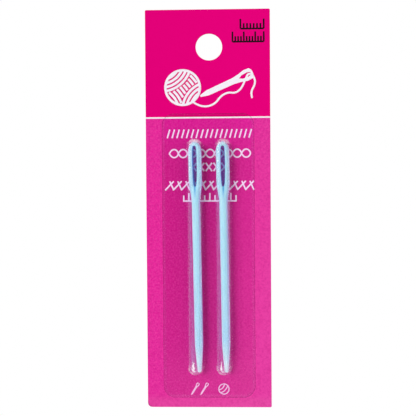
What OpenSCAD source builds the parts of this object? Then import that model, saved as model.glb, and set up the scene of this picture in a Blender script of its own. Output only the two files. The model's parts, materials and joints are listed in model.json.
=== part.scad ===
// A hanging pack of plastic yarn needles: a printed card, a clear blister sealed to its face,
// and two blunt needles lying loose in the blister's two pockets.
// The pack hangs upright. +Z is up, the face looks along -Y, and the origin is
// the centre of the hang hole on the card's back.

/* [Needles] */
// Length of a needle from tip to head
needle_l = 69.85; // [50:0.05:90]
// Diameter of the shaft
shaft_d = 2.55; // [2:0.05:3.2]
// Radius of the blunt tip
tip_r = 0.65; // [0.4:0.05:0.9]
// Length of the taper from the tip to the full shaft
taper_l = 8.4; // [4:0.1:14]
// Width of the head across the eye
head_w = 4.05; // [3.6:0.05:5]
// Thickness of the head
head_t = 2.3; // [1.8:0.05:2.5]
// Length of the head that has its full width, with its round end
head_l = 12.6; // [11:0.1:16]
// Length of the neck that blends the head into the shaft
neck_l = 7.2; // [4:0.1:12]
// Length of the head's round end, seen from the front
crown_l = 3; // [1.5:0.1:4]
// Length of the head's round end, seen from the side
crown_side_l = 1.3; // [0.8:0.1:2.5]
// Solid left between the head's end and the eye
eye_top = 1.4; // [1:0.05:2.5]
// Length of the eye
eye_l = 12.1; // [8:0.1:13]
// Widest part of the eye
eye_w = 1.3; // [0.9:0.05:1.6]
// Width of the eye's upper end
eye_end_w = 1.1; // [0.7:0.05:1.4]
// Width of the eye's lower end
eye_foot_w = 0.75; // [0.5:0.05:1]
// Length of the yarn groove that runs down from the eye on both faces
groove_l = 3.2; // [1.5:0.1:5]
// Depth of the yarn groove at the eye
groove_d = 0.35; // [0.15:0.05:0.5]
// How far the left needle is turned about its own length, in degrees
left_turn = -9; // [-12:1:12]
// How far the right needle is turned about its own length, in degrees
right_turn = 2; // [-12:1:12]

/* [Blister] */
// Thickness of the clear sheet where it is flat
sheet_t = 0.2; // [0.15:0.05:0.5]
// Thickness of the clear sheet where it is drawn into the pockets
wall_t = 0.15; // [0.1:0.05:0.3]
// Distance between the centres of the two pockets
pocket_pitch = 8.54; // [7:0.01:14]
// Room on each side of a needle's head at the foot of its pocket
side_room = 0.35; // [0.25:0.05:0.8]
// Room between a needle and the card
back_room = 0.12; // [0.1:0.01:0.4]
// Room between a needle and the pocket's crest
front_room = 0.45; // [0.2:0.05:1]
// Draft angle of the pocket's walls
draft = 3; // [1:0.5:8]
// Radius inside the pocket's crest
crest_r = 0.55; // [0.3:0.05:0.8]
// Room between the tip of the left needle and the end of its pocket at rest
tip_room = 0.2; // [0.08:0.01:0.4]
// How far a needle can slide up its pocket
needle_travel = 0.6; // [0.2:0.05:3]
// Room left above a needle's head when it has slid up
head_room = 0.15; // [0.1:0.01:0.6]
// Room between the left needle's shaft and the right wall of its pocket
left_lean_room = 0.1; // [0.08:0.01:0.6]
// Room between the right needle's shaft and the right wall of its pocket
right_lean_room = 0.45; // [0.08:0.01:0.6]
// How far the left needle's eye lies right of its pocket's middle
left_head_shift = 0.1; // [-0.15:0.01:0.15]
// How far the right needle's eye lies right of its pocket's middle
right_head_shift = -0.1; // [-0.15:0.01:0.15]
// Mean width of the flat seal beside the pockets
seal_side = 7.16; // [3:0.01:12]
// How far the pair of pockets lies right of the blister's middle
pocket_shift = 0.3; // [-1:0.05:1]
// Height of the flat seal above the pockets
seal_top = 7.45; // [3:0.05:15]
// Height of the flat seal below the pockets
seal_foot = 6.95; // [3:0.05:15]
// Corner radius of the blister
blister_corner_r = 3.6; // [1:0.1:6]

/* [Card] */
// Thickness of the card
card_t = 0.5; // [0.3:0.05:1.5]
// Width of bare card beside the blister
side_margin = 4.85; // [2:0.05:12]
// Height of bare card below the blister
foot_margin = 2.95; // [2:0.05:12]
// Height of the card's header above the blister
header_h = 31.2; // [20:0.1:50]
// Radius of the card's crisp corners
corner_r = 0.4; // [0.1:0.1:3]
// Radius of the card's worn lower left corner
worn_corner_r = 1.3; // [0.1:0.1:3]
// Diameter of the hang hole
hole_d = 8; // [5:0.1:10]
// Distance of the hang hole's centre below the card's top edge
hole_drop = 11.3; // [8:0.1:15]
// How far the hang hole lies right of the card's middle
hole_shift = 0.45; // [-1:0.05:1]

/* [Hidden] */
$fn = 64;

shaft_r = shaft_d/2;
// How far a cutting shape runs past the surface that it cuts
over = 0.5;

// A pocket's cavity at its foot, on the card, and at the height of a needle's axis
axis_h = back_room + shaft_r;
foot_half_w = head_w/2 + side_room;
axis_half_w = foot_half_w - axis_h*tan(draft);
cavity_h = back_room + shaft_d + front_room;
wall_out = wall_t/cos(draft);

// The lean of each needle: its shaft's shoulder lies near the pocket's right wall
// while its eye stays near the pocket's middle
eye_mid = needle_l - eye_top - eye_l/2;
function lean(room, shift) = asin((axis_half_w - shaft_r - room - shift)/(eye_mid - taper_l));
left_lean = lean(left_lean_room, left_head_shift);
right_lean = lean(right_lean_room, right_head_shift);

// How far the left needle's round tip drops below the centre of the pocket's round end
tip_shift = left_head_shift + (eye_mid - tip_r)*sin(left_lean);
tip_drop = sqrt(pow(axis_half_w - tip_r - tip_room, 2) - pow(tip_shift, 2)) + tip_r;
// Distance between the centres of a pocket's two round ends
pocket_run = needle_l + needle_travel + head_room - axis_half_w - tip_drop;
pocket_half_w = foot_half_w + wall_out;
pocket_l = pocket_run + 2*pocket_half_w;

blister_w = pocket_pitch + 2*(pocket_half_w + seal_side);
blister_h = pocket_l + seal_top + seal_foot;
card_w = blister_w + 2*side_margin;
card_h = blister_h + header_h + foot_margin;

// Places from the hang hole's centre
card_mid = -hole_shift;
pockets_mid = card_mid + pocket_shift;
card_foot = hole_drop - card_h;
blister_foot = card_foot + foot_margin;
pocket_foot = blister_foot + seal_foot + pocket_half_w;
needle_foot = pocket_foot - tip_drop;

// Stations along a needle, from its tip
neck_foot = needle_l - head_l - neck_l;
neck_end = needle_l - head_l;
crown_foot = needle_l - crown_l;
NEEDLE_SIDES = 32;
NEEDLE_STATIONS = concat(
    [for (a = [15:15:75]) tip_r*(1 - cos(a))],
    [tip_r, taper_l],
    [for (k = [0:8]) neck_foot + neck_l*k/8],
    [for (a = [0:10:80]) crown_foot + crown_l*sin(a)]
);

function ease(t) = let (u = min(1, max(0, t))) u*u*(3 - 2*u);
function head_share(y) = ease((y - neck_foot)/neck_l);
function blend(a, b, t) = a + (b - a)*t;
// Radius of the round part of a needle: blunt tip, taper and shaft
function round_r(y) =
    y < tip_r ? sqrt(pow(tip_r, 2) - pow(tip_r - y, 2))
    : y < taper_l ? blend(tip_r, shaft_r, (y - tip_r)/(taper_l - tip_r))
    : shaft_r;
// Share of full size that is left in a round end of length l
function end_share(y, l) =
    let (past = max(0, y - (needle_l - l))/l) sqrt(max(0, 1 - past*past));
function half_w(y) = blend(round_r(y), head_w/2, head_share(y))*end_share(y, crown_l);
function half_t(y) = blend(round_r(y), head_t/2, head_share(y))*end_share(y, crown_side_l);
// The section is a circle in the shaft and slightly squared in the head
function squared(v, p) = sign(v)*pow(abs(v), p);
function section(y) =
    let (p = blend(1, 0.85, head_share(y)))
    [for (k = [0:NEEDLE_SIDES - 1])
        let (a = 360*k/NEEDLE_SIDES)
        [half_w(y)*squared(cos(a), p), y, -half_t(y)*squared(sin(a), p)]];

// Outline of half a pocket's section, from its centre line, with depth along Y
function pocket_section(half, depth, r) =
    let (mid_x = half - (depth - r)*tan(draft) - r/cos(draft))
    concat(
        [[0, -over], [half + over*tan(draft), -over]],
        [for (k = [0:6])
            let (a = draft + (90 - draft)*k/6)
            [mid_x + r*cos(a), depth - r + r*sin(a)]],
        [[0, depth]]
    );

// Turns what is drawn lying on its back, with its face up, to hang upright
module upright() rotate([90, 0, 0]) children();

module corner_cutter(r, t) {
    difference() {
        translate([-over, -over, -over]) cube([r + over, r + over, t + 2*over]);
        translate([r, r, -2*over]) cylinder(r = r, h = t + 4*over);
    }
}

// A flat sheet centred on X, standing on Y = 0; radii run from the lower left, anticlockwise
module rounded_sheet(w, h, t, radii) {
    corners = [[-w/2, 0, 0], [w/2, 0, 90], [w/2, h, 180], [-w/2, h, 270]];
    difference() {
        translate([-w/2, 0, 0]) cube([w, h, t]);
        for (k = [0:3])
            translate([corners[k][0], corners[k][1], 0]) rotate(corners[k][2])
                corner_cutter(radii[k], t);
    }
}

// A bar with drafted walls, a round crest and round ends, from the card's face outwards
module pocket_bar(half, depth, r) {
    shape = pocket_section(half, depth, r);
    rotate([90, 0, 0]) linear_extrude(pocket_run, center = true) {
        polygon(shape);
        mirror([1, 0]) polygon(shape);
    }
    for (side = [0, 180])
        rotate(side) translate([0, pocket_run/2, 0]) rotate_extrude(angle = 180) polygon(shape);
}

module at_pockets() {
    for (side = [-1, 1])
        translate([pockets_mid + side*pocket_pitch/2, pocket_foot + pocket_run/2, 0]) children();
}

module backing_card() {
    color([0.86, 0.08, 0.52])
    upright() difference() {
        translate([card_mid, card_foot, 0])
            rounded_sheet(card_w, card_h, card_t, [worn_corner_r, corner_r, corner_r, corner_r]);
        translate([0, 0, -over]) cylinder(d = hole_d, h = card_t + 2*over);
    }
}

module clear_blister() {
    color([0.9, 0.95, 1, 0.35])
    upright() translate([0, 0, card_t]) difference() {
        union() {
            translate([card_mid, blister_foot, 0])
                rounded_sheet(blister_w, blister_h, sheet_t, [for (k = [0:3]) blister_corner_r]);
            intersection() {
                at_pockets() pocket_bar(pocket_half_w, cavity_h + wall_t, crest_r + wall_t);
                translate([-card_w, card_foot, 0]) cube([2*card_w, card_h, cavity_h + over]);
            }
        }
        at_pockets() pocket_bar(foot_half_w, cavity_h, crest_r);
    }
}

// The body of a needle standing on its tip, with its width along X, from round sections
module needle_body() {
    rings = len(NEEDLE_STATIONS);
    points = concat(
        [[0, 0, 0]],
        [for (y = NEEDLE_STATIONS) each section(y)],
        [[0, needle_l, 0]]
    );
    top = rings*NEEDLE_SIDES + 1;
    function at(ring, k) = 1 + ring*NEEDLE_SIDES + k % NEEDLE_SIDES;
    faces = concat(
        [for (k = [0:NEEDLE_SIDES - 1]) [0, at(0, k), at(0, k + 1)]],
        [for (ring = [0:rings - 2]) for (k = [0:NEEDLE_SIDES - 1])
            each [[at(ring, k), at(ring + 1, k), at(ring + 1, k + 1)],
                  [at(ring, k), at(ring + 1, k + 1), at(ring, k + 1)]]],
        [for (k = [0:NEEDLE_SIDES - 1]) [top, at(rings - 1, k + 1), at(rings - 1, k)]]
    );
    polyhedron(points, faces, convexity = 4);
}

module eye_cutter() {
    top = needle_l - eye_top;
    linear_extrude(2*shaft_d, center = true) hull() {
        translate([0, top - eye_end_w/2]) circle(d = eye_end_w, $fn = 32);
        translate([0, top - eye_l/2]) circle(d = eye_w, $fn = 32);
        translate([0, top - eye_l + eye_foot_w/2]) circle(d = eye_foot_w, $fn = 32);
    }
}

// The groove is as wide as the eye's foot where it leaves it, and dies out on the neck
module groove_cutter() {
    foot = needle_l - eye_top - eye_l + eye_foot_w/2;
    end = foot - groove_l;
    hull() {
        translate([0, foot, half_t(foot)]) scale([1, 1, groove_d/(eye_foot_w/2)])
            sphere(d = eye_foot_w, $fn = 24);
        translate([0, end, half_t(end) + groove_d/4]) sphere(r = groove_d/4, $fn = 24);
    }
}

module needle(side, shift, lean, turn) {
    color([0.66, 0.86, 0.95])
    upright() translate([pockets_mid + side*pocket_pitch/2 + shift, needle_foot, card_t + axis_h])
        translate([0, eye_mid, 0]) rotate(lean) translate([0, -eye_mid, 0])
            rotate([0, turn, 0]) difference() {
                needle_body();
                eye_cutter();
                groove_cutter();
                mirror([0, 0, 1]) groove_cutter();
            }
}

module needle_left() needle(-1, left_head_shift, left_lean, left_turn);
module needle_right() needle(1, right_head_shift, right_lean, right_turn);

backing_card();
clear_blister();
needle_left();
needle_right();
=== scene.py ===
"""A hanging pack of plastic yarn needles: printed card, clear blister and two loose needles.

The card hangs upright with its face along -Y. Sizes are in metres, apart from those in the
finishes and the printed motifs, which are in millimetres.
"""
import json
import math

import bmesh
import bpy
from mathutils import Matrix, Vector


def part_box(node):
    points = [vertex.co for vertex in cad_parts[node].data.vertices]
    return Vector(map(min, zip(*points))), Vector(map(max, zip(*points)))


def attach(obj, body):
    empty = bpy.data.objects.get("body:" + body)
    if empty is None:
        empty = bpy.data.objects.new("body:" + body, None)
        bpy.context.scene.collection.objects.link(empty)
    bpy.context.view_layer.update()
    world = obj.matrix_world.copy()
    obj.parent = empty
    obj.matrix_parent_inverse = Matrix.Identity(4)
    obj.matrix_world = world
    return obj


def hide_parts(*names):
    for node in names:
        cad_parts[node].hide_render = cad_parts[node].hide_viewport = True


bl_info = {
    "name": "Yarn Needle Pack",
    "version": (1, 0, 0),
    "blender": (4, 5, 0),
    "location": "View3D > Sidebar > Needle Pack",
    "description": "Models a carded blister pack with two plastic yarn needles",
    "category": "Add Mesh",
}

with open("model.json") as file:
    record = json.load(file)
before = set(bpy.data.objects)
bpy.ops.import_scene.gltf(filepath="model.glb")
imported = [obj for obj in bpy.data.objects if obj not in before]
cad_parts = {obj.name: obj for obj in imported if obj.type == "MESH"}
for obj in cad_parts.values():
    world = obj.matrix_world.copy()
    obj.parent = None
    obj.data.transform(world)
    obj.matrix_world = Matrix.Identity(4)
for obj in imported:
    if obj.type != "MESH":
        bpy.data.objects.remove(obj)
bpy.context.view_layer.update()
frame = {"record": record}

MM = 0.001
WHOLE_TURN = 2 * math.pi
RIGHT_ANGLE = WHOLE_TURN / 4


def ink(red, green, blue):
    """A colour given as a printer's 0 to 255 screen values, as linear light."""
    def linear(share):
        return share / 12.92 if share <= 0.04045 else ((share + 0.055) / 1.055) ** 2.4
    return tuple(linear(value / 255) for value in (red, green, blue))


def scaled(values, share):
    return [value * share for value in values]


def ease(share):
    share = min(1, max(0, share))
    return share * share * (3 - 2 * share)


def blend(start, end, share):
    return start + (end - start) * share


def near(place, other):
    """Whether two coordinates are so close that they count as one."""
    return abs(place - other) < 0.01 * MM


# Sizes and colours that a user would change

def in_mm(name, description, size):
    return bpy.props.FloatProperty(
        name=name, description=description, default=size * MM, unit="LENGTH")


def in_degrees(name, description, size):
    return bpy.props.FloatProperty(
        name=name, description=description, default=math.radians(size), subtype="ANGLE")


def as_ink(name, description, *levels):
    return bpy.props.FloatVectorProperty(
        name=name, description=description, default=ink(*levels), subtype="COLOR")


def as_number(name, description, value):
    return bpy.props.FloatProperty(name=name, description=description, default=value)


class CardSettings(bpy.types.PropertyGroup):
    """Print, corners and wear of the backing card"""
    corner: in_mm("Corner radius", "Radius of the crisp corners", 0.4)
    worn_corner: in_mm("Worn corner radius", "Radius of the rubbed lower left corner", 1.3)
    rule_drop: in_mm("Rule drop", "Distance of the white rule's middle below the top edge", 32.46)
    rule_width: in_mm("Rule width", "Width of the white rule between the two inks", 0.46)
    edge_round: in_mm("Edge rounding", "Rounding that the die cut leaves on the board's edges", 0.05)
    header_ink: as_ink("Header ink", "Solid ink above the rule", 234, 0, 124)
    body_ink: as_ink("Body ink", "Tint below the rule, on the bare card", 231, 28, 150)
    # Deeper tint where the sheet is sealed, partly painted shade of the light that the sheet holds
    # back
    sealed_ink_and_sheet_shade: as_ink(
        "Sealed ink", "The same tint where the clear sheet is sealed to it", 199, 0, 126)
    board_white: as_ink("Board white", "Bare board on the back and at the cut edges", 236, 234, 230)


class BlisterSettings(bpy.types.PropertyGroup):
    """Sheet, seal and pockets of the clear blister"""
    sheet: in_mm("Sheet", "Thickness of the clear sheet", 0.165)
    seal_height: in_mm("Seal height", "How far the seal's face stands off the card", 0.2)
    corner: in_mm("Corner radius", "Corner radius of the seal", 3.6)
    pocket_pitch: in_mm("Pocket pitch", "Distance between the pockets' middles", 8.54)
    pocket_shift: in_mm("Pocket shift", "How far the pockets lie right of the seal's middle", 0.3)
    pocket_half: in_mm("Pocket half width", "Half of a pocket's outer width on the card", 2.525)
    pocket_top: in_mm("Seal above the pockets", "Height of the flat seal above the pockets", 7.45)
    pocket_foot: in_mm("Seal below the pockets", "Height of the flat seal below the pockets", 6.95)
    draft: in_degrees("Draft", "Lean of the pockets' walls", 3)
    crest_radius: in_mm("Crest radius", "Outer radius between a pocket's wall and its crest", 1.5)
    foot_radius: in_mm("Foot radius", "Radius between the flat seal and a pocket's wall", 0.12)


class NeedleSettings(bpy.types.PropertyGroup):
    """Shape and colour of the moulded needles"""
    length: in_mm("Length", "Length from tip to head", 69.85)
    shaft: in_mm("Shaft radius", "Radius of the round shaft", 1.275)
    tip: in_mm("Tip radius", "Radius of the blunt tip", 0.65)
    taper: in_mm("Taper", "Length from the tip to the full shaft", 8.4)
    head_half_width: in_mm("Head half width", "Half of the head's width across the eye", 2.025)
    head_half_depth: in_mm("Head half depth", "Half of the head's thickness", 1.15)
    head: in_mm("Head", "Length of the head at its full width", 11.9)
    neck: in_mm("Neck", "Length that blends the head into the shaft", 7.9)
    crown: in_mm("Crown", "Length of the head's round end, seen from the front", 3)
    crown_side: in_mm("Side crown", "Length of the head's round end, seen from the side", 1.3)
    eye_top: in_mm("Eye top", "Solid left above the eye", 1.4)
    eye: in_mm("Eye", "Length of the eye", 12.1)
    eye_wide: in_mm("Eye half width", "Half of the eye's greatest width", 0.69)
    groove: in_mm("Groove", "Length of the yarn groove below the eye", 3.2)
    groove_depth: in_mm("Groove depth", "Depth of the yarn groove at the eye", 0.35)
    left_lean: in_degrees("Left lean", "Lean of the left needle in its pocket", 0.877)
    left_turn: in_degrees("Left turn", "Turn of the left needle about its length", -9)
    right_lean: in_degrees("Right lean", "Lean of the right needle in its pocket", 0.72)
    right_turn: in_degrees("Right turn", "Turn of the right needle about its length", 2)
    plastic: as_ink("Plastic", "Pale blue of the moulded plastic", 184, 228, 255)


class PrintSettings(bpy.types.PropertyGroup):
    """Generic motifs printed on the card"""
    white: as_ink("White", "White of the motifs", 252, 246, 255)
    pale: as_ink("Pale", "Softer white of the motifs below the rule", 255, 222, 255)
    faint: as_ink("Faint", "Pinkish white of the thin motifs at the foot", 246, 192, 236)
    black: as_ink("Black", "Black of the rulers", 28, 4, 20)
    thickness: in_mm("Thickness", "How far the motifs stand off the card", 0.012)


class StudioSettings(bpy.types.PropertyGroup):
    """Camera, lamps and floor"""
    key_power: as_number("Key lamp", "Power of the soft lamp on the left, in watts", 19.2)
    fill_power: as_number("Fill lamp", "Power of the weaker lamp on the right, in watts", 7.5)
    back_power: as_number("Back lamp", "Power of the lamp behind the pack, in watts", 12.0)
    room_light: as_number("Room light", "Light from all sides on the surfaces", 0.41)
    floor_drop: in_mm("Floor drop", "Distance of the floor below the card's foot", 45)


# Modelling by hand: selections and named starts

def fresh():
    """Leaves edit mode and deselects every object."""
    if bpy.context.object and bpy.context.object.mode != "OBJECT":
        bpy.ops.object.mode_set(mode="OBJECT")
    bpy.ops.object.select_all(action="DESELECT")


def activate(piece):
    fresh()
    piece.select_set(True)
    bpy.context.view_layer.objects.active = piece


def named(name):
    """Names the primitive that was just added and puts its place into its mesh."""
    piece = bpy.context.object
    piece.name = piece.data.name = name
    activate(piece)
    bpy.ops.object.transform_apply()
    return piece


def edit(piece):
    activate(piece)
    bpy.ops.object.mode_set(mode="EDIT")


def pick(kind, test):
    """Selects the vertices or edges of the piece in edit mode that pass a test."""
    piece = bpy.context.object
    bpy.ops.mesh.select_mode(type=kind)
    bpy.ops.mesh.select_all(action="DESELECT")
    shape = bmesh.from_edit_mesh(piece.data)
    for part in shape.verts if kind == "VERT" else shape.edges:
        if test(part):
            part.select_set(True)
    shape.select_flush_mode()
    bmesh.update_edit_mesh(piece.data)


def pick_all():
    bpy.ops.mesh.select_all(action="SELECT")


def extrude(*move):
    bpy.ops.mesh.extrude_region_move(TRANSFORM_OT_translate={"value": move})


def shift(*move):
    bpy.ops.transform.translate(value=move)


def stretch(shares, middle):
    bpy.ops.transform.resize(value=shares, center_override=middle)


def face_outwards():
    pick_all()
    bpy.ops.mesh.normals_make_consistent(inside=False)


def modify(piece, kind, **settings):
    """Adds a modifier, sets it and applies it."""
    activate(piece)
    modifier = piece.modifiers.new(kind.title(), kind)
    for name, value in settings.items():
        setattr(modifier, name, value)
    bpy.ops.object.modifier_apply(modifier=modifier.name)


def round_edges(piece, width, segments, degrees):
    """Bevels the edges that turn by more than this many degrees."""
    modify(piece, "BEVEL", width=width, segments=segments, limit_method="ANGLE",
           angle_limit=math.radians(degrees))


def smooth(piece, degrees):
    activate(piece)
    bpy.ops.object.shade_smooth_by_angle(angle=math.radians(degrees))


def edge_middle(edge):
    return (edge.verts[0].co + edge.verts[1].co) / 2


# Shader maths, with lengths in millimetres

def maths(operation, swapped=False):
    """A method of a value that adds a Math node of this operation."""
    def method(self, *others):
        values = (*others, self) if swapped else (self, *others)
        return self.finish.node("Math", {"operation": operation}, *values)
    return method


class Value:
    """A socket with a number on it; sums of values add their Math nodes."""
    __add__ = __radd__ = maths("ADD")
    __sub__ = maths("SUBTRACT")
    __rsub__ = maths("SUBTRACT", swapped=True)
    __mul__ = __rmul__ = maths("MULTIPLY")
    __truediv__ = maths("DIVIDE")
    __abs__ = maths("ABSOLUTE")
    at_least = maths("MAXIMUM")
    at_most = maths("MINIMUM")
    remainder = maths("MODULO")
    root = maths("SQRT")

    def __init__(self, finish, socket):
        self.finish = finish
        self.socket = socket

    def rise(self, start, end):
        """0 as far as start and 1 from end on; end may be the lower of the two."""
        return self.finish.node(
            "MapRange", {"interpolation_type": "SMOOTHSTEP"}, self, start, end)

    def band(self, start, full, fading, end):
        """1 from full to fading, and 0 below start and above end."""
        return self.rise(start, full) - self.rise(fading, end)


class Finish:
    """A material in the making, or the light of the room."""

    def __init__(self, name, of_room=False):
        self.owner = (bpy.data.worlds if of_room else bpy.data.materials).new(name)
        self.owner.use_nodes = True
        self.tree = self.owner.node_tree
        self.tree.nodes.clear()
        self.place = self.node("TexCoord", output="Generated" if of_room else "Object")

    def node(self, kind, settings=(), *values, output=None, **sockets):
        """Adds a ShaderNode: first its settings, then its sockets in order, then by name."""
        node = self.tree.nodes.new("ShaderNode" + kind)
        for name, value in dict(settings).items():
            setattr(node, name, value)
        pairs = list(zip((socket for socket in node.inputs if socket.enabled), values))
        for name, value in sockets.items():
            pairs.append((node.inputs[name.replace("_", " ")], value))
        for socket, value in pairs:
            self.feed(socket, value)
        outputs = [socket for socket in node.outputs if socket.enabled]
        found = [socket for socket in outputs if socket.name == output] or outputs
        return Value(self, found[0]) if found else None

    def feed(self, socket, value):
        if isinstance(value, Value):
            self.tree.links.new(value.socket, socket)
        elif socket.type == "RGBA":
            socket.default_value = (*value[:3], 1)
        else:
            socket.default_value = value

    def ramp(self, value, *stops):
        """A grey ramp through (place, level) stops."""
        ramp = self.node("ValToRGB", (), value)
        elements = ramp.socket.node.color_ramp.elements
        elements.remove(elements[1])
        for index, (place, level) in enumerate(stops):
            stop = elements.new(place) if index else elements[0]
            stop.position = place
            stop.color = (level, level, level, 1)
        return ramp

    def mix(self, share, start, end):
        """A colour between two colours."""
        return self.node("Mix", {"data_type": "RGBA"}, share, start, end)

    def layers(self, tone, *layers):
        """Lays (share, colour) pairs over a tone, one after the other."""
        for share, colour in layers:
            tone = self.mix(share, tone, colour)
        return tone

    def noise(self, size, detail=2, roughness=0.5, z_scale=1):
        """A grey pattern with specks of about this size; a low z_scale draws them out along Z."""
        place = self.place
        if z_scale != 1:
            place = self.node("Mapping", {"vector_type": "POINT"}, place, Scale=(1, 1, z_scale))
        return self.node("TexNoise", (), Vector=place, Scale=1 / (size * MM), Detail=detail,
                         Roughness=roughness)

    def axes(self, names):
        """The point's place along these axes, in millimetres."""
        return [self.node("SeparateXYZ", (), self.place, output=name) / MM for name in names]

    def facing(self, direction):
        """How far the surface faces this way: 1 straight at it and 0 edge on."""
        normal = self.node("NewGeometry", output="Normal")
        return self.node("VectorMath", {"operation": "DOT_PRODUCT"}, normal, direction)

    def turned_away(self):
        """0 where the surface faces the eye and 1 where it is seen edge on."""
        return self.node("LayerWeight", (), Blend=0.5, output="Facing")

    def ray(self, kind):
        """1 for rays of this kind, such as Camera, and 0 for all others."""
        return self.node("LightPath", output=f"Is {kind} Ray")

    def bump(self, height, distance, strength=1.0, **under):
        """Relief of this height, on top of the Normal under it."""
        return self.node("Bump", (), Strength=strength, Distance=distance * MM, Height=height,
                         **under)

    def surface(self, shader):
        self.node("OutputMaterial", (), Surface=shader)
        return self.owner

    def plastic(self, tone, roughness, specular, **sockets):
        """Ends the material in one Principled shader."""
        return self.surface(self.node("BsdfPrincipled", (), tone, Roughness=roughness,
                                      Specular_IOR_Level=specular, **sockets))


def pocket_ends():
    """Heights of the middles of the pockets' round ends, at the foot and at the top."""
    size = bpy.context.scene.pack_blister
    low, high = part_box("clear_blister")
    return (low.z + size.pocket_foot + size.pocket_half,
            high.z - size.pocket_top - size.pocket_half)


def depth_inside_seal(finish):
    """How far a point lies inside the outline of the seal, as seen from the front."""
    corner = bpy.context.scene.pack_blister.corner / MM
    low, high = (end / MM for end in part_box("clear_blister"))
    middle, half = (low + high) / 2, (high - low) / 2
    x, z = finish.axes("XZ")
    across = abs(x - middle.x) - (half.x - corner)
    along = abs(z - middle.z) - (half.z - corner)
    right, up = across.at_least(0), along.at_least(0)
    return corner - (right * right + up * up).root() - across.at_least(along).at_most(0)


# Finishes

def header_finish():
    """Solid ink on coated board, with painted shade on the left, and deeper under the sheet, partly
    as painted shade of the light that the sheet holds back.
    """
    solid = bpy.context.scene.pack_card.header_ink
    finish = Finish("header_ink")
    x, z = finish.axes("XZ")
    sealed = depth_inside_seal(finish).rise(-0.1, 0.3)
    grain = finish.noise(0.5, 3, 0.65).rise(0.3, 0.7)
    tone = finish.layers(
        scaled(solid, 0.955),
        # Painted shade: darker on the left, full ink towards the right
        ((x + z * 0.15).rise(-20, 12), solid),
        # Deeper where the sheet is sealed, partly as painted shade of the light that the sheet holds
        # back
        (sealed * 0.8, ink(202, 0, 104)),
        (grain * 0.3, scaled(solid, 0.93)))
    return finish.plastic(tone, 0.42, 0.01, Normal=finish.bump(grain, 0.004, 0.5))


def body_finish():
    """Screened tint, matt on the bare card and deeper where the sheet is sealed to it, partly as
    painted shade, with painted glare and glow laid over it.
    """
    card = bpy.context.scene.pack_card
    finish = Finish("body_ink")
    x, z = finish.axes("XZ")
    sealed = depth_inside_seal(finish).rise(-0.1, 0.3)
    # Painted glare: paler towards the right and the foot
    painted_glare = (x - z * 0.3).rise(0, 62) * (0.9 - sealed * 0.3)
    shaded = (x * -0.5 - z).rise(60, 112)
    rubbed = z.rise(-104.5, -107.5)
    low_down = z.rise(-88, -100) * sealed
    # Painted glow on the seal, at its top and towards its right
    painted_glow = z.rise(-36, -22) * 0.42 + x.rise(3, 16) * z.rise(-95, -50) * 0.22
    grain = finish.noise(0.5, 3, 0.7).rise(0.35, 0.65)
    patch = finish.noise(0.75, 3, 0.7).rise(0.42, 0.66)
    tone = finish.layers(
        card.body_ink,
        # Deeper where the sheet is sealed, partly as painted shade of the light that the sheet holds
        # back
        (sealed, card.sealed_ink_and_sheet_shade),
        (painted_glare, ink(231, 72, 167)),
        (shaded * 0.3, ink(200, 30, 140)),
        (rubbed * 0.35, ink(222, 96, 164)),
        (low_down * 0.06, ink(226, 110, 170)),
        (painted_glow * sealed, ink(240, 12, 166)),
        (grain * (0.58 - sealed * 0.2), ink(240, 74, 172)),
        (patch * 0.32, ink(196, 14, 124)))
    return finish.plastic(tone, 0.55, 0.03, Normal=finish.bump(grain, 0.006, 0.6))


def rule_finish():
    finish = Finish("white_rule")
    tone = finish.mix(finish.noise(0.4), ink(252, 246, 250), ink(244, 232, 240))
    return finish.plastic(tone, 0.5, 0.1)


def board_finish():
    """Uncoated greyish board with short fibres, pressed in a little behind the seal."""
    bare = bpy.context.scene.pack_card.board_white
    finish = Finish("bare_board")
    fibres = finish.noise(0.35, 4, 0.65, 0.25)
    tone = finish.mix(fibres.rise(0.35, 0.7), bare, ink(222, 217, 209))
    relief = finish.bump(depth_inside_seal(finish).rise(0, 0.8), 0.06)
    return finish.plastic(
        tone, 0.85, 0.2, Normal=finish.bump(fibres, 0.01, 0.7, Normal=relief))


def print_finish(name, colour):
    finish = Finish(name)
    worn = finish.noise(0.3).rise(0.35, 0.75)
    tone = finish.mix(worn, colour, scaled(colour, 0.93))
    return finish.plastic(tone, 0.5, 0.1)


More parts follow.
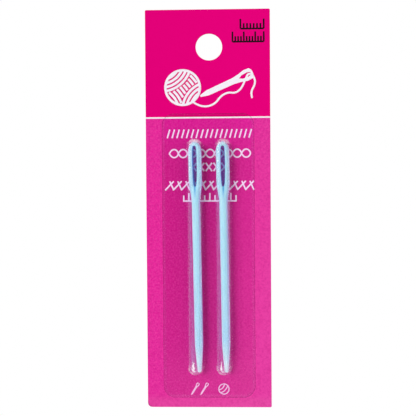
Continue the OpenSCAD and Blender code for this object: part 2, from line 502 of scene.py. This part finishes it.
def sheet_finish():
    """Clear formed sheet: a bare gloss where it faces the eye, and more where it turns away, with a
    lavender haze of painted reflections.
    """
    finish = Finish("clear_sheet")
    scene = bpy.context.scene
    pitch, eye = scene.pack_blister.pocket_pitch / MM, scene.pack_needle.eye / MM
    foot_z, top_z = (end / MM for end in pocket_ends())
    low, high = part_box("clear_blister")
    middle = ((low.x + high.x) / 2 + scene.pack_blister.pocket_shift) / MM
    x, y, z = finish.axes("XYZ")
    raised = y.rise(-0.72, -1.15)
    # The rim of the seal, with a painted dark shade line and a painted pale highlight line inside it
    depth = depth_inside_seal(finish)
    rim = depth.rise(0.1, 0.03)
    painted_edge_shade = depth.band(-0.05, 0.05, 0.25, 0.4)
    painted_edge_highlight = depth.band(0.3, 0.45, 0.7, 1.0)
    rule_z = (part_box("backing_card")[1].z - scene.pack_card.rule_drop) / MM
    on_header = (z - rule_z).rise(0, 0.2)
    # Painted reflection: a lavender haze on the pockets, strongest where they turn a little away
    # from the eye
    painted_wall_reflection = finish.ramp(finish.turned_away(), (0, 0), (0.015, 0.14), (0.05, 0.15), (0.15, 0.08),
                       (0.4, 0.03), (1, 0.06))
    marks = finish.noise(0.3, 3, 0.6, 0.03).rise(0.38, 0.62)
    # Painted highlights of the lamps run round the pockets' ends, most of them at the lower left
    side = (x - (middle - 2 * pitch)).remainder(pitch) - pitch / 2
    below = foot_z - z
    above = z - top_z
    down = below.at_least(0)
    waver = finish.noise(0.9)
    rings = (side * side + down * down).root() / 0.4 + waver * 3.2
    highlight_rings = finish.node("TexNoise", {"noise_dimensions": "1D"}, W=rings, Scale=1, Detail=2,
                        Roughness=0.6).rise(0.54, 0.6)
    leftward = side.rise(1.6, -1.2) * 0.85 + 0.15
    off_tip = abs(side - 0.75).rise(0.4, 0.75)
    foot_highlights = highlight_rings * below.rise(-1.2, 0.9) * leftward * off_tip
    glint_streak = abs(side + 0.8 + (waver - 0.5) * 1.6).rise(0.2, 0.05) \
        * below.band(-2.6, -0.4, 0.4, 1.0)
    top_highlights = finish.noise(0.42, 2, 0.6, 0.45).rise(0.46, 0.56) * above.rise(0, 1.8)
    over_tip = marks * below.rise(-2, 0.6)
    painted_end_highlights = (foot_highlights * 0.62 + glint_streak * 0.75 + top_highlights * 0.45 + over_tip * 0.1) * raised
    # A painted bluish light lies on the crests over the needles' eyes, for the blue light that
    # passes through the needles
    blue_light_over_eye = abs(side).rise(0.9, 0.6) * above.band(-eye - 0.4, 0.4 - eye, -0.4, 0.4) * raised
    tone = finish.layers(
        ink(176, 166, 232),
        ((painted_end_highlights * 4).at_most(1), ink(255, 238, 252)),
        (painted_edge_shade.at_least(rim), ink(120, 20, 80)),
        (blue_light_over_eye, ink(84, 140, 255)))
    cover = (painted_wall_reflection * raised * (0.5 + marks) + painted_end_highlights + painted_edge_shade * 0.09 + rim * 0.3
             + painted_edge_highlight * 0.02 * (1 - on_header) + blue_light_over_eye * 0.085).at_most(0.92)
    # The haze shows the painted reflections, highlights, edge lines and bluish light
    painted_haze = finish.node("BsdfPrincipled", (), Base_Color=tone, Roughness=0.08)
    clear = finish.node("BsdfTransparent", (), (1, 1, 1))
    gloss = finish.node("BsdfAnisotropic", (), (1, 1, 1), Roughness=0.13)
    shine = finish.node("Fresnel", (), IOR=1.2).at_most(0.09) \
        * (1 - rim.at_least(on_header) * 0.85)
    film = finish.node("MixShader", (), cover, clear, painted_haze)
    film = finish.node("MixShader", (), shine, film, gloss)
    # Lamps and room light go through the sheet unhindered
    seen = finish.ray("Camera")
    return finish.surface(finish.node("MixShader", (), seen, clear, film))


def needle_finish(name, tip, lean, turn):
    """Pale blue translucent plastic with a satin skin, with painted shade in the eye and its groove,
    a painted highlight at the tip and painted reflections on its rims and right side.
    """
    needle = bpy.context.scene.pack_needle
    finish = Finish(name)
    x, y, z = finish.axes("XYZ")
    tip = tip / MM
    up = z - tip.z
    off_axis = x - tip.x + up * math.tan(lean)
    across = abs(off_axis * math.cos(turn) + (y - tip.y) * math.sin(turn))
    eye_end = (needle.length - needle.eye_top) / MM
    eye_foot = eye_end - needle.eye / MM
    groove_foot = eye_foot - 1.3 * needle.groove / MM
    streaks = finish.noise(0.9, 3, 0.6, 0.12)
    # Painted highlight, paler towards the tip and broken by the streaks
    tip_highlight = up.rise(10, 1) * (1 - streaks.rise(0.4, 0.6) * 0.4)
    # Painted shade in the yarn groove below the eye
    groove = across.rise(0.45, 0.15) * up.band(groove_foot, eye_foot, eye_foot, eye_foot + 1)
    # Painted shade on the walls of the eye, which face sideways
    sideways = abs(finish.facing((0, 1, 0))).rise(0.8, 0.35)
    in_eye = sideways * across.rise(1.0, 0.85) \
        * up.band(eye_foot - 0.4, eye_foot - 0.2, eye_end + 0.2, eye_end + 0.4)
    deep = [level * share for level, share in zip(needle.plastic, (0.92, 0.97, 1))]
    tone = finish.layers(
        needle.plastic,
        (streaks.rise(0.35, 0.7) * 0.5, deep),
        (tip_highlight * 0.8, ink(238, 254, 255)),
        # Painted reflection: a pale lavender rim where the surface turns away
        (finish.turned_away().rise(0.4, 0.95) * 0.7, ink(222, 186, 252)),
        (groove * 0.85, ink(92, 178, 222)),
        # Painted shade and pink reflection on the side that faces right, away from the key lamp
        (finish.facing((1, 0, 0)).rise(0.5, 0.95) * 0.5, ink(212, 150, 240)),
        (in_eye * 0.75, ink(70, 136, 196)))
    return finish.plastic(
        tone, 0.45, 0.2, Subsurface_Weight=1.0, Subsurface_Radius=(0.8, 0.9, 1.0),
        Subsurface_Scale=1.4 * MM, Normal=finish.bump(finish.noise(0.25, 3, 0.6), 0.006, 0.5))


# Pieces

def arc(middle, radius, start, end, steps):
    """Points on an arc that runs from one angle to another, in degrees."""
    angles = [math.radians(blend(start, end, step / steps)) for step in range(steps + 1)]
    return [(middle[0] + radius * math.cos(angle), middle[1] + radius * math.sin(angle))
            for angle in angles]


class PACK_OT_card(bpy.types.Operator):
    """Models the printed card: a die-cut board with its hang hole and print zones"""
    bl_idname = "needle_pack.card"
    bl_label = "Backing Card"

    def execute(self, context):
        size = context.scene.pack_card
        low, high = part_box("backing_card")
        fresh()
        bpy.ops.mesh.primitive_cube_add(size=1, location=(low + high) / 2, scale=high - low)
        card = named("printed_card")
        self.round_corners(card, low, size)
        self.punch(card)
        rule_z, half_rule = high.z - size.rule_drop, size.rule_width / 2
        edit(card)
        for level in (rule_z + half_rule, rule_z - half_rule):
            pick_all()
            bpy.ops.mesh.bisect(plane_co=(0, 0, level), plane_no=(0, 0, 1))
        round_edges(card, size.edge_round, 2, 60)
        for make in (header_finish, rule_finish, body_finish, board_finish):
            card.data.materials.append(make())
        for face in card.data.polygons:
            if face.normal.y > -0.3:
                face.material_index = 3
            elif abs(face.center.z - rule_z) < half_rule:
                face.material_index = 1
            else:
                face.material_index = 0 if face.center.z > rule_z else 2
        smooth(card, 20)
        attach(card, "pack")
        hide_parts("backing_card")
        return {"FINISHED"}

    def round_corners(self, card, low, size):
        """Rounds the four corners, the lower left one more."""
        edit(card)
        for worn, radius, segments in ((True, size.worn_corner, 8), (False, size.corner, 4)):
            def wanted(edge):
                run = edge.verts[0].co - edge.verts[1].co
                place = edge_middle(edge) - low
                at_worn = max(abs(place.x), abs(place.z)) < MM
                return near(run.x, 0) and near(run.z, 0) and at_worn == worn
            pick("EDGE", wanted)
            bpy.ops.mesh.bevel(offset=radius, segments=segments, affect="EDGES")

    def punch(self, card):
        """Cuts the hang hole."""
        hole = next(item for item in frame["record"]["mounts"] if item["kind"] == "bore")
        fresh()
        bpy.ops.mesh.primitive_cylinder_add(
            vertices=96, radius=hole["dims"]["r_mm"] * MM, depth=10 * MM,
            location=hole["pos_m"], rotation=(RIGHT_ANGLE, 0, 0))
        punch = named("punch")
        modify(card, "BOOLEAN", operation="DIFFERENCE", object=punch, solver="EXACT")
        bpy.data.objects.remove(punch)


class PACK_OT_blister(bpy.types.Operator):
    """Models the clear blister: a flat seal with two long pockets, drawn from one sheet"""
    bl_idname = "needle_pack.blister"
    bl_label = "Clear Blister"

    def execute(self, context):
        self.size = size = context.scene.pack_blister
        self.low, self.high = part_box("clear_blister")
        self.card_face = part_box("backing_card")[0].y
        self.middle = (self.low + self.high) / 2
        self.middle.y = self.card_face - size.seal_height
        parts = [self.seal()]
        for side in (-0.5, 0.5):
            parts.append(self.pocket(self.middle.x + size.pocket_shift + side * size.pocket_pitch))
        blister = self.join(parts)
        modify(blister, "SOLIDIFY", thickness=size.sheet, use_even_offset=True)
        round_edges(blister, 0.04 * MM, 1, 70)
        blister.data.materials.append(sheet_finish())
        smooth(blister, 30)
        modify(blister, "WEIGHTED_NORMAL", weight=90, keep_sharp=True)
        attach(blister, "pack")
        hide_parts("clear_blister")
        return {"FINISHED"}

    def seal(self):
        """The outline of the flat seal, with its corners rounded."""
        fresh()
        bpy.ops.mesh.primitive_plane_add(
            size=1, location=self.middle, rotation=(RIGHT_ANGLE, 0, 0))
        seal = named("seal")
        span = self.high - self.low
        edit(seal)
        pick_all()
        stretch((span.x, 1, span.z), self.middle)
        pick_all()
        bpy.ops.mesh.bevel(offset=self.size.corner, segments=12, affect="VERTICES")
        pick_all()
        bpy.ops.mesh.inset(thickness=1.2 * MM)
        bpy.ops.mesh.delete(type="ONLY_FACE")
        return seal

    def profile(self):
        """Half widths and heights above the card, from the seal up to the crest."""
        size = self.size
        crest = self.card_face - self.low.y
        slope, draft = math.tan(size.draft), math.degrees(size.draft)
        foot, bend = size.foot_radius, size.crest_radius
        foot_z, bend_z = size.seal_height + foot, crest - bend
        foot_middle = size.pocket_half - foot_z * slope + foot
        bend_middle = size.pocket_half - bend_z * slope - bend / math.cos(size.draft)
        return [*arc((foot_middle, foot_z), foot, -90, draft - 180, 4),
                *arc((bend_middle, bend_z), bend, draft, 90, 9), (bend_middle / 2, crest)]

    def pocket(self, middle):
        """A long pocket, grown ring by ring from its outline on the seal to its crest."""
        points = self.profile()
        foot_z, top_z = pocket_ends()
        split = (foot_z + top_z) / 2
        sides = 48
        fresh()
        bpy.ops.mesh.primitive_circle_add(
            vertices=sides, radius=points[0][0], fill_type="NOTHING",
            location=(middle, self.middle.y, foot_z),
            rotation=(RIGHT_ANGLE, WHOLE_TURN / sides / 2, 0))
        pocket = named("pocket")
        edit(pocket)
        pick("VERT", lambda vert: vert.co.z > foot_z)
        shift(0, 0, top_z - foot_z)
        pick_all()
        for (half, height), (next_half, next_height) in zip(points, points[1:]):
            extrude(0, height - next_height, 0)
            share = next_half / half
            shape = bmesh.from_edit_mesh(pocket.data)
            ring = {vert.index for vert in shape.verts if vert.select}
            for end_z, upper in ((foot_z, False), (top_z, True)):
                pick("VERT", lambda vert: vert.index in ring and (vert.co.z > split) == upper)
                stretch((share, 1, share), (middle, 0, end_z))
            pick("VERT", lambda vert: vert.index in ring)
        bpy.ops.mesh.edge_face_add()
        return pocket

    def join(self, parts):
        """Joins the outlines and fills the flat seal round the pockets."""
        blister = parts[0]
        activate(blister)
        for part in parts:
            part.select_set(True)
        bpy.ops.object.join()
        blister.name = blister.data.name = "formed_blister"
        edit(blister)
        pick_all()
        bpy.ops.mesh.remove_doubles(threshold=0.001 * MM)

        def open_inside(edge):
            place = edge_middle(edge)
            rim = min(*(place - self.low).xz, *(self.high - place).xz)
            return len(edge.link_faces) < 2 and near(place.y, self.middle.y) and rim > 0.6 * MM
        pick("EDGE", open_inside)
        bpy.ops.mesh.fill()
        face_outwards()
        fresh()
        # Blender only guesses the outside of an open sheet
        if sum(face.normal.y * face.area for face in blister.data.polygons) > 0:
            edit(blister)
            pick_all()
            bpy.ops.mesh.flip_normals()
        return blister


class PACK_OT_print(bpy.types.Operator):
    """Prints generic needlework motifs on the card: a yarn ball, stitches and rulers"""
    bl_idname = "needle_pack.print"
    bl_label = "Printed Motifs"

    def execute(self, context):
        self.size = size = context.scene.pack_print
        white, pale, faint, black = (print_finish(name + "_motif_ink", getattr(size, name))
                                     for name in ("white", "pale", "faint", "black"))
        self.stroke("ink_yarn_ball", self.yarn_ball(), 0.76, white)
        self.stroke("ink_thread", [self.thread()], 0.6, white)
        self.fill("ink_large_needle", self.needle_outline(17.4, 1.15, (5.2, -11.2), 24), white)
        self.stroke("ink_stitch_rows", self.stitch_rows(), 0.46, pale)
        marks = []
        for middle in (-4.9, -2.1):
            marks += self.needle_outline(4.3, 0.34, (middle, -103.4), 58)
        self.fill("ink_count_marks", marks, faint)
        self.stroke("ink_small_ball", self.small_ball(), 0.34, faint)
        self.stroke("ink_rulers", self.rulers(), 0.5, black)
        return {"FINISHED"}

    def yarn_ball(self):
        """A ball of yarn: its outline, and three windings that cross each other."""
        middle, radius = (-8.0, -12.1), 5.2
        upper, lower, across = (-14.5, -4.0), (0.5, -19.0), (-16.5, -19.5)
        lines = [arc(middle, radius, 0, 360, 48)]
        for centre, nearest, turns in ((upper, 5.75, 4), (lower, 6.3, 3), (across, 7.4, 8)):
            for turn in range(turns):
                run = []
                for place in arc(centre, nearest + 1.15 * turn, 0, 360, 300):
                    inside = math.dist(place, middle) < radius - 0.1
                    crossed = math.dist(place, upper) < 9.75 or math.dist(place, lower) < 9.15
                    if inside and not (centre == across and crossed):
                        run.append(place)
                    else:
                        if len(run) > 3:
                            lines.append(run[::3] + run[-1:])
                        run = []
        return lines

    def thread(self):
        """The loose end of the yarn, from the ball through the large needle's eye."""
        return self.rounded([
            (-5.0, -16.4), (-3.0, -17.6), (-0.4, -17.9), (2.0, -16.8), (3.4, -14.8),
            (5.6, -13.6), (8.0, -13.9), (9.8, -12.4), (11.0, -9.6), (11.8, -7.9),
            (13.4, -8.6), (14.0, -11.0), (12.6, -13.4), (12.9, -15.4)])

    def rounded(self, points):
        """Cuts the corners of a run of points twice."""
        for turn in range(2):
            cut = [(blend(x, to_x, share), blend(y, to_y, share))
                   for (x, y), (to_x, to_y) in zip(points, points[1:]) for share in (0.25, 0.75)]
            points = [points[0], *cut, points[-1]]
        return points

    def needle_outline(self, length, half, middle, degrees):
        """Outlines of a needle and its eye, aslant about their middle."""
        body = [(-0.5, 0.0), (-0.49, 0.25), (-0.36, 0.72), (0.12, 0.8), (0.26, 1.1), (0.36, 1.5),
                (0.46, 1.42), (0.494, 0.8), (0.5, 0)]
        eye = [(0.24, 0), (0.3, 0.5), (0.4, 0.62), (0.455, 0.4), (0.465, 0)]
        turn = Matrix.Rotation(math.radians(degrees), 2)
        outlines = []
        for side in (body, eye):
            loop = side + [(along, -across) for along, across in side[-2:0:-1]]
            outlines.append([Vector(middle) + turn @ Vector((along * length, across * half))
                             for along, across in loop])
        return outlines

    def stitch_rows(self):
        """Five rows of stitches: whipped, chain, cross, herringbone and blanket."""
        link = self.rounded([(0, 0), (0.9, 1.2), (2.1, 1.2), (2.95, 0), (2.1, -1.2), (0.9, -1.2),
                             (0, 0)])
        # Left end, pitch, count, height of the foot, and the lines of one stitch
        rows = (
            (-12.75, 1.45, 18, -27.3, [[(0, 0), (0.75, 2.6)]]),
            (-12.2, 2.72, 9, -31.95, [link]),
            (-5.9, 2.35, 5, -37.3, [[(0, 0), (1.9, 2.5)], [(0, 2.5), (1.9, 0)]]),
            (-13.5, 2.42, 11, -43.0, [[(0, 0), (2.6, 2.7)], [(1.4, 2.7), (2.6, 0)]]),
            (-7.9, 3.16, 6, -46.2, [[(0, 0), (0, 1.6)]]),
            (-6.32, 3.16, 5, -46.2, [[(0, 0), (0, 2.3)]]),
        )
        lines = [[(-8.1, -46.3), (8.1, -46.3)]]
        for left, pitch, count, foot, stitch in rows:
            for step in range(count):
                lines += [[(left + step * pitch + x, foot + up) for x, up in line]
                          for line in stitch]
        return lines

    def small_ball(self):
        """A small ball of yarn beside the count marks."""
        lines = [arc((3.9, -103.4), 1.55, 0, 360, 32)]
        for radius, start, end in ((2.1, -78, -12), (3.1, -72, -18)):
            lines.append(arc((2.0, -101.6), radius, start, end, 8))
        return lines

    def rulers(self):
        """Two rulers, one of seven divisions and one of eleven."""
        lines = []
        for left, right, foot, top, parts in ((9.5, 16.5, 5.4, 8.3, 7), (7.1, 16.5, 1.5, 4.5, 11)):
            lines.append([(left, foot), (right, foot)])
            for step in range(parts + 1):
                x = blend(left, right, step / parts)
                tall = step in (0, parts) or parts == 11 and step % 4 == 0
                lines.append([(x, foot), (x, top if tall else blend(foot, top, 0.55))])
        return lines

    def lay_on_card(self, name, lines, finish, closed, **settings):
        """Makes the lines a thin mesh that stands on the card's face."""
        fresh()
        bpy.ops.curve.primitive_nurbs_path_add()
        drawing = bpy.context.object
        drawing.name = drawing.data.name = name
        drawing.data.splines.clear()
        for points in lines:
            line = drawing.data.splines.new("POLY")
            line.points.add(len(points) - 1)
            for point, (x, z) in zip(line.points, points):
                point.co = (x * MM, z * MM, 0, 1)
            line.use_cyclic_u = closed
        for setting, value in settings.items():
            setattr(drawing.data, setting, value)
        activate(drawing)
        bpy.ops.object.convert(target="MESH")
        drawing.rotation_euler.x = RIGHT_ANGLE
        bpy.ops.object.transform_apply()
        depths = [vert.co.y for vert in drawing.data.vertices]
        thickness = self.size.thickness
        edit(drawing)
        pick_all()
        stretch((1, thickness / (max(depths) - min(depths)), 1), (0, 0, 0))
        shift(0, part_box("backing_card")[0].y - thickness / 2, 0)
        face_outwards()
        fresh()
        drawing.data.materials.append(finish)
        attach(drawing, "pack")

    def stroke(self, name, lines, width, finish):
        """Draws lines of one width, in millimetres."""
        self.lay_on_card(name, lines, finish, False, dimensions="3D",
                         bevel_depth=width / 2 * MM, bevel_resolution=2, use_fill_caps=True)

    def fill(self, name, outlines, finish):
        """Fills outlines; an outline inside another one stays open."""
        self.lay_on_card(name, outlines, finish, True, dimensions="2D", fill_mode="BOTH",
                         extrude=0.1 * MM)


class PACK_OT_needles(bpy.types.Operator):
    """Models a blunt needle with a long eye and lays a copy of it in each pocket"""
    bl_idname = "needle_pack.needles"
    bl_label = "Needles"
    sides = 24
    # Share of the eye's length from its foot, and share of its half width there
    eye_outline = ((0, 0.3), (0.02, 0.48), (0.065, 0.66), (0.16, 0.82), (0.3, 0.95), (0.45, 1),
                   (0.7, 1), (0.83, 0.98), (0.925, 0.88), (0.975, 0.68), (1, 0.42))

    def execute(self, context):
        self.size = size = context.scene.pack_needle
        self.eye_foot = size.length - size.eye_top - size.eye
        self.eye_end = self.eye_foot + size.eye
        self.groove_foot = self.eye_foot - size.groove
        self.neck_foot = size.length - size.head - size.neck
        needle = self.moulding()
        other = needle.copy()
        other.data = needle.data.copy()
        context.scene.collection.objects.link(other)
        self.lay(needle, "left", size.left_lean, size.left_turn)
        self.lay(other, "right", size.right_lean, size.right_turn)
        return {"FINISHED"}

    def stations(self):
        """Heights of the rings, from the tip up."""
        size, eye_foot, eye_end = self.size, self.eye_foot, self.eye_end
        # Rings lie between two heights, at these shares of the way
        runs = (
            (0, size.tip, (0.180848, 0.5, 1)),
            (0, size.taper, (0.3, 0.65)),
            (size.taper - MM, size.taper + MM, (0.3, 0.7)),
            (size.taper, self.neck_foot, (0.25, 0.5, 0.75)),
            (self.neck_foot, self.groove_foot, (0, 1 / 3, 2 / 3)),
            (self.groove_foot, eye_foot, (0, 0.25, 0.5, 0.75, 1)),
            (eye_foot, eye_foot + MM, (0.25, 0.8)),
            (eye_foot, eye_end, (0.16, 0.28, 0.42, 0.56, 0.7, 0.82)),
            (eye_end - MM, eye_end, (0.1, 0.7, 1)),
            (size.length, size.length - size.crown,
             (0.233956, 0.117052, 0.043695, 0.009732, 0.000952)),
        )
        return sorted(blend(start, end, share) for start, end, shares in runs for share in shares)

    def half_sizes(self, height):
        """Half width and half depth of the section at this height."""
        size = self.size
        if height < size.tip:
            round_part = math.sqrt(size.tip ** 2 - (size.tip - height) ** 2)
        else:
            tapered = min(1, (height - size.tip) / (size.taper - size.tip))
            round_part = blend(size.tip, size.shaft, tapered)
        head = ease((height - self.neck_foot) / size.neck) ** 1.5

        def end(crown):
            past = max(0, height - (size.length - crown)) / crown
            return math.sqrt(max(0, 1 - past * past))
        return (blend(round_part, size.head_half_width, head) * end(size.crown),
                blend(round_part, size.head_half_depth, head) * end(size.crown_side))

    def eye_half(self, height):
        """Half width of the eye at this height: narrow at its foot, wide and round above."""
        share = (height - self.eye_foot) / self.size.eye
        for (low, narrow), (high, wide) in zip(self.eye_outline, self.eye_outline[1:]):
            if share <= high:
                break
        part = min(1, max(0, (share - low) / (high - low)))
        return blend(narrow, wide, part) * self.size.eye_wide

    def moulding(self):
        """The needle standing on its tip, with its width along X and its eye through Y."""
        # A subdivided ring shrinks, so each ring is drawn a little larger
        ring_gain = 3 / (2 + math.cos(WHOLE_TURN / self.sides))
        heights = self.stations()
        sections = [scaled(self.half_sizes(height), ring_gain) for height in heights]
        fresh()
        bpy.ops.mesh.primitive_circle_add(
            vertices=self.sides, radius=sections[0][0], fill_type="TRIFAN",
            location=(0, 0, heights[0]))
        needle = named("needle")
        edit(needle)
        pick("VERT", lambda vert: len(vert.link_faces) > 4)
        shift(0, 0, -heights[0])
        pick("EDGE", lambda edge: len(edge.link_faces) == 1)
        for index in range(1, len(heights)):
            extrude(0, 0, heights[index] - heights[index - 1])
            shares = [now / before for now, before in zip(sections[index], sections[index - 1])]
            stretch((*shares, 1), (0, 0, heights[index]))
        extrude(0, 0, self.size.length - heights[-1])
        bpy.ops.mesh.merge(type="CENTER")
        self.cut_grooves(heights)
        self.cut_eye(heights)
        modify(needle, "SUBSURF", levels=2, render_levels=2)
        smooth(needle, 60)
        return needle

    def cut_grooves(self, heights):
        """Presses a shallow groove below the eye into both faces."""
        for height in heights:
            share = (height - self.groove_foot) / self.size.groove
            if not 0 < share <= 1.001:
                continue
            for side in (-1, 1):
                pick("VERT", lambda vert: near(vert.co.x, 0)
                     and vert.co.y * side > 0.3 * MM and near(vert.co.z, height))
                shift(0, -self.size.groove_depth * ease(share) * side, 0)

    def cut_eye(self, heights):
        """Opens the long eye: the middle of both faces goes, and walls bridge front to back."""
        def in_eye(height, margin=0.05 * MM):
            return self.eye_foot + margin < height < self.eye_end - margin
        pick("VERT", lambda vert: near(vert.co.x, 0) and in_eye(vert.co.z))
        bpy.ops.mesh.delete(type="VERT")
        for height in heights:
            if not in_eye(height, -0.05 * MM):
                continue
            wanted = self.eye_half(height)
            for side in (-1, 1):
                shape = bmesh.from_edit_mesh(bpy.context.object.data)
                nearest = min(vert.co.x * side for vert in shape.verts
                              if near(vert.co.z, height) and vert.co.x * side > 0.05 * MM)
                pick("VERT", lambda vert: near(vert.co.z, height)
                     and near(vert.co.x * side, nearest))
                shift((wanted - nearest) * side, 0, 0)
        pick("EDGE", lambda edge: len(edge.link_faces) == 1)
        bpy.ops.mesh.bridge_edge_loops(number_cuts=2)
        # The walls of the eye draw in towards the middle, as two mould halves leave them
        pick("VERT", lambda vert: abs(vert.co.y) < 0.6 * MM
             and abs(vert.co.x) < 1.1 * self.size.eye_wide and in_eye(vert.co.z))
        stretch((0.84, 1, 1), (0, 0, 0))
        face_outwards()

    def lay(self, needle, side, lean, turn):
        """Turns and leans a needle and moves it to the place of its solid."""
        node = "needle_" + side
        needle.name = needle.data.name = "moulded_needle_" + side
        activate(needle)
        for angles in ((0, 0, turn), (0, -lean, 0)):
            needle.rotation_euler = angles
            bpy.ops.object.transform_apply()
        low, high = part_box(node)
        for axis in range(3):
            places = [vert.co[axis] for vert in needle.data.vertices]
            middle = (min(places) + max(places)) / 2
            needle.location[axis] = (low[axis] + high[axis]) / 2 - middle
        tip = needle.location.copy()
        bpy.ops.object.transform_apply()
        needle.data.materials.append(needle_finish(side + "_needle_plastic", tip, lean, turn))
        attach(needle, side + "_needle")
        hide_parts(node)


class PACK_OT_studio(bpy.types.Operator):
    """Sets the camera, the lamps, the white room and the pale floor"""
    bl_idname = "needle_pack.studio"
    bl_label = "Studio"
    camera_place = (0.015752, -0.349044, -0.037474)
    camera_turn = (88.2014, 0.3804, 2.6721)
    # Place and width of each soft lamp
    lamps = {
        "key": ((-1.2, -1.05, 0.45), 0.85),
        "fill": ((1.45, -0.85, -0.1), 0.85),
        "back": ((0.7, 1.1, 0.4), 0.8),
    }
    aim = Vector((0, 0, -0.05))

    def execute(self, context):
        studio = context.scene.pack_studio
        fresh()
        bpy.ops.object.camera_add(
            location=self.camera_place,
            rotation=[math.radians(angle) for angle in self.camera_turn])
        context.scene.camera = context.object
        context.object.data.lens = 100
        context.object.data.sensor_width = 36
        self.room(context, studio)
        for name, (place, width) in self.lamps.items():
            self.lamp(context, name + "_lamp", place, width, getattr(studio, name + "_power"))
        self.floor(studio)
        context.scene.view_settings.view_transform = "Standard"
        return {"FINISHED"}

    def lamp(self, context, name, place, width, power):
        turn = (Vector(place) - self.aim).to_track_quat("Z", "Y").to_euler()
        bpy.ops.object.light_add(type="AREA", location=place, rotation=turn)
        context.object.name = name
        light = context.object.data
        light.shape = "RECTANGLE"
        light.size = width
        light.size_y = width * 1.2
        light.energy = power

    def room(self, context, studio):
        """White to the camera, and softer on the surfaces."""
        light = Finish("room", of_room=True)
        seen = light.ray("Camera") + light.ray("Transmission")
        # In reflections the backdrop is white, and the camera's side of the room is dim
        towards_back = light.node("SeparateXYZ", (), light.place, output="Y")
        backdrop = light.node("MapRange", (), towards_back, -0.75, -0.2, 0.1)
        level = light.node("Mix", (), light.ray("Glossy"), studio.room_light, backdrop)
        level = light.node("Mix", (), seen, level, 1.0)
        white = light.node("Background", (), (1, 1, 1), level)
        light.node("OutputWorld", (), white)
        context.scene.world = light.owner

    def floor(self, studio):
        """A round pale floor well below the hanging pack."""
        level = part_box("backing_card")[0].z - studio.floor_drop
        thick = 4 * MM
        fresh()
        bpy.ops.mesh.primitive_cylinder_add(
            vertices=96, radius=170 * MM, depth=thick, location=(0, 0, level - thick / 2))
        floor = named("floor")
        round_edges(floor, MM, 3, 60)
        finish = Finish("pale_floor")
        paint = finish.node("BsdfDiffuse", (), Color=(0.9, 0.9, 0.9), Roughness=0.5)
        glow = finish.node("Emission", (), (1, 1, 1), finish.ray("Camera") * 0.35)
        floor.data.materials.append(finish.surface(finish.node("AddShader", (), paint, glow)))


class PACK_PT_sidebar(bpy.types.Panel):
    """Lists the sizes and the pieces of the pack"""
    bl_idname = "PACK_PT_sidebar"
    bl_label = "Needle Pack"
    bl_space_type = "VIEW_3D"
    bl_region_type = "UI"
    bl_category = "Needle Pack"

    def draw(self, context):
        for operator in OPERATORS:
            self.layout.operator(operator.bl_idname)
        for name, group in SETTINGS.items():
            box = self.layout.box()
            box.label(text=group.__doc__)
            for entry in group.__annotations__:
                box.prop(getattr(context.scene, name), entry)


SETTINGS = {
    "pack_card": CardSettings,
    "pack_blister": BlisterSettings,
    "pack_needle": NeedleSettings,
    "pack_print": PrintSettings,
    "pack_studio": StudioSettings,
}
OPERATORS = (PACK_OT_card, PACK_OT_print, PACK_OT_blister, PACK_OT_needles, PACK_OT_studio)
CLASSES = (*SETTINGS.values(), *OPERATORS, PACK_PT_sidebar)


def register():
    for kind in CLASSES:
        bpy.utils.register_class(kind)
    for name, group in SETTINGS.items():
        setattr(bpy.types.Scene, name, bpy.props.PointerProperty(type=group))


def unregister():
    for name in SETTINGS:
        delattr(bpy.types.Scene, name)
    for kind in reversed(CLASSES):
        bpy.utils.unregister_class(kind)


def main():
    register()
    bpy.ops.needle_pack.card()
    bpy.ops.needle_pack.print()
    bpy.ops.needle_pack.blister()
    bpy.ops.needle_pack.needles()
    bpy.ops.needle_pack.studio()


if __name__ == "__main__":
    main()
